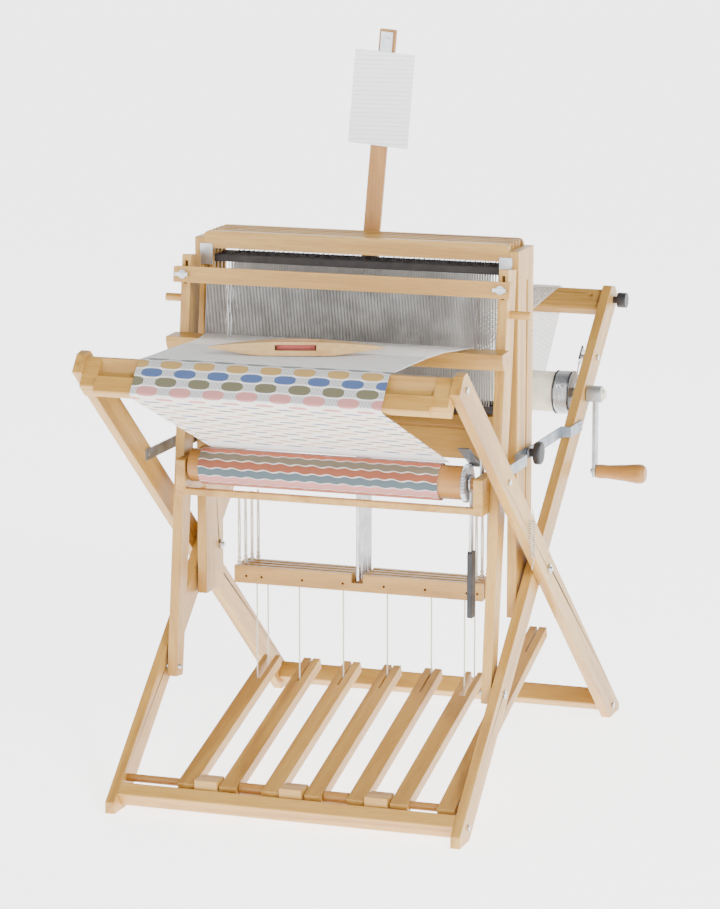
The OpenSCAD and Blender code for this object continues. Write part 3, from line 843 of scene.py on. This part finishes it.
upper, lower = tieWork["upper"], tieWork["lower"]
for number in range(1, 5):
    parts = [cordLength(tie, upper, tie["top"]) for tie in ties if tie["lamm"] == number]
    tiePiece(f"tieTops_{number}", parts,
             [f"lamm_cords_{number}", "tabby_cords"])
middles = [cordLength(tie, lower, upper) for tie in ties]
tiePiece("tieMiddles", middles, ["tabby_cords"])
for number in range(1, 7):
    parts = []
    for tie in ties:
        if tie["treadle"] == number:
            low = underTreadle(shaftY(tie["lamm"])) - 0.004
            parts += [cordLength(tie, low, lower),
                      knot("knot", tie["x"], shaftY(tie["lamm"]), low, tieWork["knot"], cordYarn)]
    tiePiece(f"tieEnds_{number}", parts, ["tabby_cords"])

for number in range(1, 5):
    y = shaftY(number)
    parts = []
    for side in (-0.2, 0.2):
        x = rowX + side + (number - 2.5) * 0.005
        for strand in (-0.0016, 0.0016):
            parts.append(tube("cord", [(x + strand * 0.6, y, 0.331), (x + strand, y + 0.0006, 0.39),
                                       (x + strand * 0.5, y, 0.449)], tieWork["radius"], cordYarn))
        for height, size in ((0.335, 0.0040), (0.342, 0.0034), (0.352, 0.0028)):
            parts.append(knot("knot", x, y, height, size, cordYarn))
    piece = joined(f"lammTies_{number}", parts)
    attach(piece, f"lamm_{number}")
    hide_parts(f"lamm_cords_{number}")

print("cords made")


# brake: coil spring and wound drum

springWork = {"turns": 15, "radius": 0.0043, "wire": 0.0007}
springLow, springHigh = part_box("brake_spring")
springX = (springLow[0] + springHigh[0]) / 2
springY = (springLow[1] + springHigh[1]) / 2
coilLow, coilHigh = springLow[2] + 0.02, springHigh[2] - 0.02
coil = []
for k in range(springWork["turns"] * 16 + 1):
    a = 2 * math.pi * k / 16
    coil.append((springX + springWork["radius"] * math.cos(a), springY + springWork["radius"] * math.sin(a),
                 coilLow + (coilHigh - coilLow) * k / (springWork["turns"] * 16)))
parts = [tube("coil", coil, springWork["wire"], steel, 6),
         tube("hook", [(springX, springY, springLow[2] + 0.001), coil[0]], springWork["wire"], steel, 6),
         tube("hook", [(springX, springY, springHigh[2] - 0.001), coil[-1]], springWork["wire"], cordYarn,
              6)]
spring = joined("brakeCoil", parts)
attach(spring, "outer_frame")
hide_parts("brake_spring")

drumWork = {"turns": 9, "cable": 0.0012, "radius": 0.0355}
drumLow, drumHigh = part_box("brake_drum")
winding = []
for k in range(drumWork["turns"] * 32 + 1):
    a = 2 * math.pi * k / 32
    share = k / (drumWork["turns"] * 32)
    winding.append((drumLow[0] + 0.004 + (drumHigh[0] - drumLow[0] - 0.008) * share,
                    wbY + drumWork["radius"] * math.cos(a), wbZ + drumWork["radius"] * math.sin(a)))
cable = tube("drumCable", winding, drumWork["cable"], steel, 6)
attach(cable, "inner_frame")
print("brake made")


# bobbin in the shuttle, and the knobs of the struts

bobbinWork = {"length": 0.060, "radius": 0.0078, "turn": 18}


def makeBobbin():
    low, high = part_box("shuttle")
    middle = Vector(((low[0] + high[0]) / 2, (low[1] + high[1]) / 2, low[2] + 0.0143))
    way = Vector((math.cos(math.radians(bobbinWork["turn"])), math.sin(math.radians(bobbinWork["turn"])), 0))
    half = way * bobbinWork["length"] / 2
    core = roundBar("bobbin", middle - half, middle + half, bobbinWork["radius"], pinkYarn, 24, 0.0025)
    pin = roundBar("pin", middle - half * 1.32, middle + half * 1.32, 0.0013, steel, 10)
    piece = joined("bobbin", [core, pin])
    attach(piece, "shuttle")


makeBobbin()

starWork = {"lobes": 6, "depth": 0.03, "place": (0.008, 0.545), "hub": 0.007, "radius": 0.019,
            "inner": 0.2825, "middle": 0.2905, "outer": 0.3025}


def starKnob(name, x0, x1, y, z, radius):
    deselectAll()
    bpy.ops.mesh.primitive_cylinder_add(vertices=72, radius=radius, depth=x1 - x0,
                                        location=((x0 + x1) / 2, y, z), rotation=(0, math.pi / 2, 0))
    piece = bpy.context.object
    piece.name = name
    applyPlace(piece)
    for vertex in piece.data.vertices:
        a = math.atan2(vertex.co[2] - z, vertex.co[1] - y)
        pull = 1 - starWork["depth"] * (1 - math.cos(starWork["lobes"] * a)) / 2
        vertex.co[1] = y + (vertex.co[1] - y) * pull
        vertex.co[2] = z + (vertex.co[2] - z) * pull
    edge = piece.modifiers.new("edge", "BEVEL")
    edge.width = 0.0034
    edge.segments = 3
    edge.limit_method = "ANGLE"
    applyModifiers(piece)
    bpy.ops.object.shade_smooth_by_angle(angle=math.radians(40))
    piece.data.materials.append(blackPlastic)
    return piece


parts = []
knobY, knobZ = starWork["place"]
for side in (-1, 1):
    inner, middle, outer = (rowX + side * starWork[key] for key in ("inner", "middle", "outer"))
    edgeIn, edgeOut = sorted((inner, middle))
    faceIn, faceOut = sorted((middle, outer))
    parts.append(roundBar("hub", (edgeIn, knobY, knobZ), (edgeOut, knobY, knobZ), starWork["hub"],
                          blackPlastic, 24))
    parts.append(starKnob("star", faceIn, faceOut, knobY, knobZ, starWork["radius"]))
stars = joined("strutStars", parts)
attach(stars, "rear_struts")
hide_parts("strut_knobs")
print("detail made")
